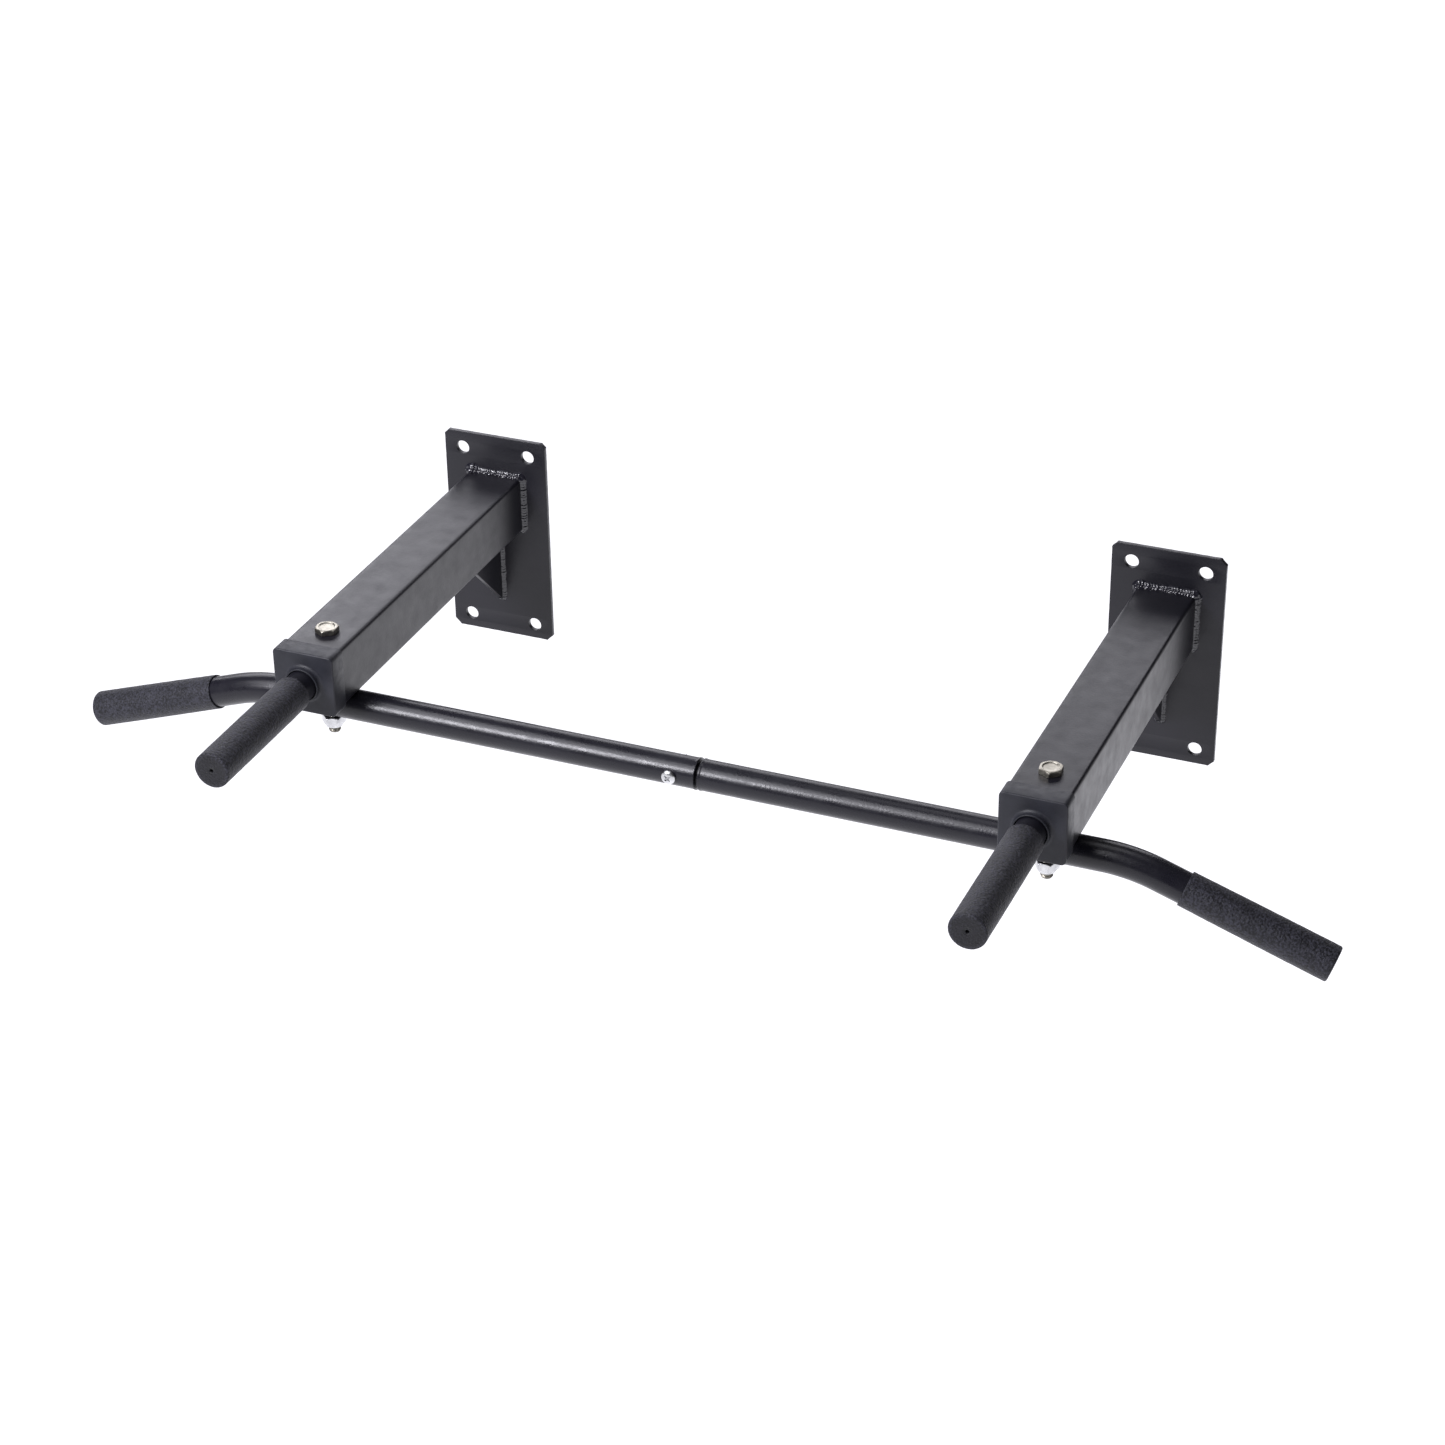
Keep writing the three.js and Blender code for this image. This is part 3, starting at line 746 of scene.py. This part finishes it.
def handle_tube(side):
    """The short steel tube inside a forward handle."""
    node = f"{side}_handle_tube"
    start, end = -high(node)[1], -low(node)[1]
    radius, edge = size(node)[0] / 2, 0.4
    inner = radius - TUBE_WALL
    profile = [(inner, start), (radius, start), *arc((radius - edge, end - edge), edge, 0, 90, 4),
               (inner + edge, end), (inner, end - edge)]
    rings = to_reach(turned(profile, 96), ARM_X[side])
    return stands_for(ring_mesh(f"{side}_handle_fine", rings, wrap=True), node)


# ---------------------------------------------------------------- cross bar

BEND_TANGENT = BEND["radius"] * math.tan(BEND["angle"] / 2)
BEND_START = BEND["vertex"] - BEND_TANGENT
BEND_LENGTH = BEND["radius"] * BEND["angle"]
GRIP_START = BEND_START + BEND_LENGTH - BEND_TANGENT + BAR_GRIP["from_vertex"]
GRIP_END = GRIP_START + BAR_GRIP["length"]
BAR_END = GRIP_END - FOAM_END - CLEARANCE


def bent_down(points):
    """Bends what lies along +X about the bar's axis downwards at its bend."""
    points = np.array(points, float)
    along = np.maximum(points[..., 0] - BEND_START, 0)
    turn = np.minimum(along / BEND["radius"], BEND["angle"])
    beyond = along - turn * BEND["radius"]
    from_centre = BEND["radius"] + points[..., 2]
    x = BEND_START + from_centre * np.sin(turn) + beyond * np.cos(turn)
    z = from_centre * np.cos(turn) - BEND["radius"] - beyond * np.sin(turn)
    bends = points[..., 0] > BEND_START
    points[..., 0] = np.where(bends, x, points[..., 0])
    points[..., 2] = np.where(bends, z, points[..., 2])
    return points


def on_bar(points, side):
    """Places what was drawn about the bar's axis, towards +X, on one side of the object."""
    points = bent_down(to_x(points))
    if side == "left":
        points = points * (-1, -1, 1)
    return points + (0, -BOLT_REACH, BAR_Z)


def bar_stations(start):
    """Places along the bar, closer together in its bend."""
    bends = np.linspace(BEND_START, BEND_START + BEND_LENGTH, 25)
    straight = np.linspace(start, BEND_START, 40)[:-1]
    slope = np.linspace(bends[-1], BAR_END, 14)[1:]
    return [*straight, *bends, *slope]


def bar_half(side):
    """One half of the bent bar. The right one has the spigot that slides into the left one."""
    node = f"{side}_bar_half"
    radius, inner = BAR_RADIUS, BAR_RADIUS - TUBE_WALL
    edge = 0.5
    if side == "left":
        start = -BAR_JOINT["x"] + BAR_JOINT["groove"] / 2
        profile = [(inner, start + 0.3), (inner + 0.3, start)]
    else:
        start = BAR_JOINT["x"] + BAR_JOINT["groove"] / 2
        spigot, tip = BAR_JOINT["spigot"], start - BAR_JOINT["groove"] - BAR_JOINT["spigot_length"]
        shoulder = start - BAR_JOINT["groove"]
        profile = [(spigot - TUBE_WALL, tip), (spigot - 0.6, tip), (spigot, tip + 0.6), (spigot, shoulder),
                   (spigot - 1.2, shoulder + 0.2), (spigot - 1.2, start)]
    lip = BAR_JOINT["lip"]
    profile += arc((radius + lip - edge, start + edge), edge, -80, 0, 4)
    profile += [(radius + lip, start + 1.2), (radius, start + 2.4)]
    stations = bar_stations(start + 2.6)
    profile += [(radius, station) for station in stations]
    bore = [(inner, station) for station in reversed(stations)]
    if side == "right":
        bore = bore[:-1] + [(spigot - TUBE_WALL, start + TUBE_WALL)]
    rings = on_bar(turned(profile + bore, 96), side)
    bar = ring_mesh(f"{side}_bar_fine", rings, wrap=True)
    bolt_hole = ring_mesh("bolt_hole", turned([(BOLT["radius"] + CLEARANCE, BAR_Z - radius - 2),
                                               (BOLT["radius"] + CLEARANCE, BAR_Z + radius + 2)], 48)
                          + (ARM_X[side], -BOLT_REACH, 0))
    screw_hole = ring_mesh("screw_hole", to_reach(
        turned([(SCREW["radius"] + CLEARANCE, BOLT_REACH - radius - 2),
                (SCREW["radius"] + CLEARANCE, BOLT_REACH + radius + 2)], 48), SCREW_X, BAR_Z))
    return stands_for(drilled(bar, bolt_hole, screw_hole), node)


def bar_grip(side):
    """The foam on a sloping end of the bar, closed at its end."""
    node = f"{side}_bar_grip"
    bore = BAR_RADIUS + CLEARANCE
    grip = foam_sleeve(f"{side}_bar_foam", GRIP_START, GRIP_END, bore, BAR_GRIP["mouth"], BAR_GRIP["end"], 0,
                       31 + SIDES.index(side), lambda rings: on_bar(rings, side), GRIP_SEAM[side])
    stands_for(grip, node)
    return grip


# ---------------------------------------------------------------- fasteners


def hex_rings(profile, flats, sides):
    """Rings about +Z that follow a hexagon out to the profile's radius, like a turned chamfer."""
    turn = np.arange(sides) / sides * TAU
    edge = hexagon_reach(turn, flats)
    rings = []
    for radius, along in profile:
        reach = np.minimum(edge, radius)
        rings.append(np.stack([reach * np.cos(turn), reach * np.sin(turn), np.full(sides, along)], 1))
    return rings


def threaded(radius, start, stop, pitch, depth, sides):
    """Rings of a V thread about +Z, with a lead-in taper at start."""
    lead_in = 1.2
    rings_per_turn = 8
    count = round((stop - start) / pitch * rings_per_turn)
    turn = np.arange(sides) / sides * TAU
    rings = []
    for along in np.linspace(start, stop, count + 1):
        phase = (along / pitch + turn / TAU) % 1
        groove = depth * (1 - np.abs(2 * phase - 1))
        fade = min(1, max(0, (stop - along) / pitch))
        taper = max(0, 1 - (along - start) / lead_in) * 0.9
        reach = radius - groove * fade - taper
        rings.append(np.stack([reach * np.cos(turn), reach * np.sin(turn), np.full(sides, along)], 1))
    return rings


def arm_bolt(side):
    """Hexagon bolt with a dished head on top of the arm."""
    node = f"{side}_arm_bolt"
    sides = 96
    tip, top = low(node)[2], high(node)[2]
    seat = top - BOLT["head"]
    face = BOLT["flats"] / 2
    corner = BOLT["flats"] / math.sqrt(3)
    thread_end = tip + 30
    rings = threaded(BOLT["radius"], tip, thread_end, BOLT["pitch"], 0.85, sides)
    rings.insert(0, circle(0.4, tip + 0.02, sides))
    rings += [circle(BOLT["radius"], thread_end + 0.5, sides), circle(BOLT["radius"], seat, sides)]
    rings += [circle(face - 0.4, seat + 0.02, sides), circle(face - 0.25, seat + 0.25, sides)]
    hexed = [(corner - 0.25, seat + 0.3), (corner, seat + 0.6), (corner, top - 0.95),
             (corner - 0.5, top - 0.62), (face + 0.25, top - 0.26), (face - 0.35, top - 0.08),
             (face - 0.75, top)]
    rings += hex_rings(hexed, BOLT["flats"], sides)
    dish = [(face - 1.5, top), (face - 1.8, top - 0.08), (face - 2.2, top - 0.5), (face - 2.6, top - 0.72),
            (face - 3.1, top - 0.8), (3.5, top - 0.82), (1.5, top - 0.85), (0.4, top - 0.86)]
    rings += [circle(radius, along, sides) for radius, along in dish]
    turned_by = {"left": math.radians(34), "right": math.radians(-23)}[side]
    rings = spin(np.array(rings), turned_by) + (ARM_X[side], -BOLT_REACH, 0)
    return stands_for(ring_mesh(f"{side}_bolt_fine", rings, sharp=30), node)


def nut_rings(flats, bottom, top, bore):
    """A plain hexagon nut about +Z with both faces chamfered and a countersunk bore."""
    sides = 96
    face, corner = flats / 2, flats / math.sqrt(3)
    depth = 0.12 * flats / 2
    hexed = [(face - 0.4, bottom), (face, bottom + 0.12), (corner - 0.4, bottom + 0.6 * depth),
             (corner, bottom + depth), (corner, top - depth), (corner - 0.4, top - 0.6 * depth),
             (face, top - 0.12), (face - 0.4, top)]
    rings = hex_rings(hexed, flats, sides)
    rings += [circle(bore + 0.7, top, sides), circle(bore, top - 0.7, sides)]
    rings += [circle(bore, bottom + 0.7, sides), circle(bore + 0.7, bottom, sides)]
    return rings


def lock_nut(side):
    """Lock nut under the arm, with a collar that holds its nylon ring."""
    node = f"{side}_lock_nut"
    sides = 96
    end, top = low(node)[2], high(node)[2]
    shoulder = end + NUT["collar"]
    face, corner = NUT["flats"] / 2, NUT["flats"] / math.sqrt(3)
    seat = NUT["insert"] + 0.15
    rings = [circle(seat, end + 0.5, sides), circle(seat + 0.2, end + 0.1, sides)]
    rings += [circle(radius, along, sides) for radius, along in
              [(seat + 0.5, end), *arc((NUT["collar_radius"] - 0.9, end + 0.9), 0.9, -75, 0, 4),
               (NUT["collar_radius"], shoulder - 0.3), (NUT["collar_radius"] + 0.3, shoulder)]]
    hexed = [(face - 0.3, shoulder), (face, shoulder + 0.12), (corner - 0.5, shoulder + 0.75),
             (corner, shoulder + 1.15), (corner, top - 1.0), (corner - 0.5, top - 0.6), (face, top - 0.12),
             (face - 0.4, top)]
    rings += hex_rings(hexed, NUT["flats"], sides)
    bore = BOLT["radius"] + 0.1
    rings += [circle(bore + 0.8, top, sides), circle(bore, top - 0.8, sides), circle(bore, shoulder, sides),
              circle(seat, shoulder, sides)]
    turned_by = {"left": math.radians(20), "right": math.radians(2)}[side]
    rings = spin(np.array(rings), turned_by) + (ARM_X[side], -BOLT_REACH, 0)
    return stands_for(ring_mesh(f"{side}_nut_fine", rings, wrap=True, sharp=30), node)


def lock_nut_insert(side):
    """The nylon ring in a lock nut."""
    node = f"{side}_lock_nut_insert"
    bottom, top = low(node)[2], high(node)[2]
    bore = BOLT["radius"] - 0.2
    profile = [(bore + 0.15, bottom), *arc((NUT["insert"] - 0.4, bottom + 0.4), 0.4, -80, 0, 4),
               (NUT["insert"], top), (bore, top), (bore, bottom + 0.2)]
    rings = turned(profile, 64) + (ARM_X[side], -BOLT_REACH, 0)
    return stands_for(ring_mesh(f"{side}_insert_fine", rings, wrap=True), node)


def joint_screw():
    """Pan head with a cross recess pressed into its dome; the shank's thread shows at the back."""
    node = "joint_screw"
    sides = 96
    tip, top = -high(node)[1], -low(node)[1]
    seat = top - SCREW["head_height"]
    radius = SCREW["head_radius"]
    thread_end = tip + 14
    rings = threaded(SCREW["radius"], tip, thread_end, SCREW["pitch"], 0.55, sides)
    rings.insert(0, circle(0.3, tip + 0.02, sides))
    rings += [circle(SCREW["radius"], thread_end + 0.4, sides), circle(SCREW["radius"], seat, sides)]
    shoulder = seat + 1.3
    profile = [(radius - 0.4, seat), (radius - 0.1, seat + 0.12), (radius, seat + 0.45), (radius, shoulder)]
    dome = [(radius * math.cos(t), shoulder + (top - shoulder) * math.sin(t))
            for t in np.radians(np.linspace(8, 88, 26))]
    rings += [circle(r, along, sides) for r, along in profile + dome]
    rings.append(circle(0.1, top, sides))
    rings = np.array(rings)
    cross = spin(rings, math.radians(45))
    x, y = cross[..., 0], cross[..., 1]
    reach = np.hypot(x, y)
    cross_reach = 3.3
    arm_width = 0.55 + 0.12 * (3.4 - reach)
    narrow = np.minimum(np.abs(x), np.abs(y))
    inside = np.clip((arm_width - narrow) / 0.3, 0, 1) * np.clip((cross_reach - reach) / 0.5, 0, 1)
    depth = 0.9 + 0.35 * (cross_reach - np.minimum(reach, cross_reach))
    rings[..., 2] -= inside * (rings[..., 2] > shoulder) * depth
    return stands_for(ring_mesh("joint_screw_fine", to_reach(rings, SCREW_X, BAR_Z), sharp=30), node)


def joint_nut():
    """The plain nut behind the bar's joint."""
    node = "joint_nut"
    near, far = -high(node)[1], -low(node)[1]
    rings = nut_rings(size(node)[0], near, far, SCREW["radius"] + 0.1)
    rings = to_reach(np.array(rings), SCREW_X, BAR_Z)
    return stands_for(ring_mesh("joint_nut_fine", rings, wrap=True, sharp=30), node)


# ---------------------------------------------------------------- the object

for side in SIDES:
    wall_plate(side)
    arm_tube(side)
    arm_weld(side)
    gusset(side)
    gusset_plate_weld(side)
    gusset_arm_weld(side)
    end_cap(side)
    handle_grip(side)
    handle_tube(side)
    bar_half(side)
    bar_grip(side)
    arm_bolt(side)
    lock_nut(side)
    lock_nut_insert(side)
joint_screw()
joint_nut()

# Hidden structure keeps its CAD shape and gets its own finish.
for side in SIDES:
    for part in ("arm_end_plate", "handle_weld"):
        node = f"{side}_{part}"
        hidden = frame["nodes"][node]
        hidden.data.materials.clear()
        hidden.data.materials.append(MATERIALS[NODE_SLOT[node]])

# ---------------------------------------------------------------- stage, light and camera

# The stage is in metres and degrees. The lens and its sensor are in millimetres.
FLOOR_Z = -2
FLOOR_SIZE = 160
SKY_STRENGTH = 0.05
LIGHT_CENTRE = Vector((0, -0.25, 0))
LIGHT_DISTANCE = 2.4
# Name, azimuth, elevation, width, height and radiance.
LIGHTS = (
    ("key", -31, 32, 0.66, 0.62, 38),
    ("key_right", -18, 38, 0.7, 0.8, 2.6),
    ("key_spread", -41, 50, 1.9, 1.3, 5.0),
    ("back_left", 232, 25, 1.1, 1.0, 3.4),
    ("back", 196, 27, 2.2, 1.2, 2.75),
    ("back_floor", 165, -30, 1.3, 1.0, 0.42),
    ("overhead", 180, 82, 1.3, 1.1, 1.7),
)
CAMERA = {"place": (0.913, -2.378, 1.307), "yaw": 22.93, "pitch": -30.0, "roll": -0.86, "lens": 84.2,
          "sensor": 36}


def floor():
    """A wide floor that glows white, far below the object and all that shows behind it."""
    bpy.ops.mesh.primitive_plane_add(size=FLOOR_SIZE, location=(0, 0, FLOOR_Z))
    ground = bpy.context.object
    ground.name = "floor"
    material, tree, shader = new_material("floor_paint")
    vector = coordinates(tree)
    tone = remap(tree, noise_at(tree, vector, 400, 2), 0.3, 0.7, 0, 1)
    tree.links.new(mixed(tree, tone, (0.48, 0.48, 0.48), (0.54, 0.54, 0.54)), shader.inputs["Base Color"])
    shader.inputs["Roughness"].default_value = 0.8
    shader.inputs["Emission Color"].default_value = (0.955, 0.95, 1, 1)
    shader.inputs["Emission Strength"].default_value = 1.16
    ground.data.materials.append(material)


def softbox(name, azimuth, elevation, width, height, radiance):
    """A soft rectangle that faces the object. Azimuth 0 is the user's side, 90 is to their right."""
    turn, rise = math.radians(azimuth), math.radians(elevation)
    away = Vector((math.sin(turn) * math.cos(rise), -math.cos(turn) * math.cos(rise), math.sin(rise)))
    lamp = bpy.data.lights.new(name, "AREA")
    lamp.shape = "RECTANGLE"
    lamp.size, lamp.size_y = width, height
    lamp.energy = math.pi * width * height * radiance
    lamp.color = (0.94, 0.935, 1)
    thing = bpy.data.objects.new(name, lamp)
    thing.location = LIGHT_CENTRE + LIGHT_DISTANCE * away
    thing.rotation_mode = "QUATERNION"
    thing.rotation_quaternion = away.to_track_quat("Z", "Y")
    thing.visible_camera = False
    bpy.context.scene.collection.objects.link(thing)


def world(strength):
    """A faint even light from all round."""
    sky = bpy.data.worlds.new("studio")
    sky.use_nodes = True
    background = sky.node_tree.nodes["Background"]
    background.inputs["Color"].default_value = (1, 1, 1, 1)
    background.inputs["Strength"].default_value = strength
    bpy.context.scene.world = sky


def camera():
    """A long lens from the user's right, above and in front."""
    lens = bpy.data.cameras.new("camera")
    lens.sensor_width = CAMERA["sensor"]
    lens.lens = CAMERA["lens"]
    lens.clip_start, lens.clip_end = 0.05, 200
    thing = bpy.data.objects.new("camera", lens)
    yaw, pitch, roll = (math.radians(CAMERA[key]) for key in ("yaw", "pitch", "roll"))
    forward = Vector((-math.sin(yaw) * math.cos(pitch), math.cos(yaw) * math.cos(pitch), math.sin(pitch)))
    right = forward.cross(Vector((0, 0, 1))).normalized()
    up = right.cross(forward)
    rolled_right = math.cos(roll) * right + math.sin(roll) * up
    rolled_up = math.cos(roll) * up - math.sin(roll) * right
    rotation = Matrix((rolled_right, rolled_up, -forward)).transposed().to_4x4()
    thing.matrix_world = Matrix.Translation(CAMERA["place"]) @ rotation
    bpy.context.scene.collection.objects.link(thing)
    bpy.context.scene.camera = thing


floor()
world(SKY_STRENGTH)
for light in LIGHTS:
    softbox(*light)
camera()
bpy.context.scene.view_settings.view_transform = "Standard"
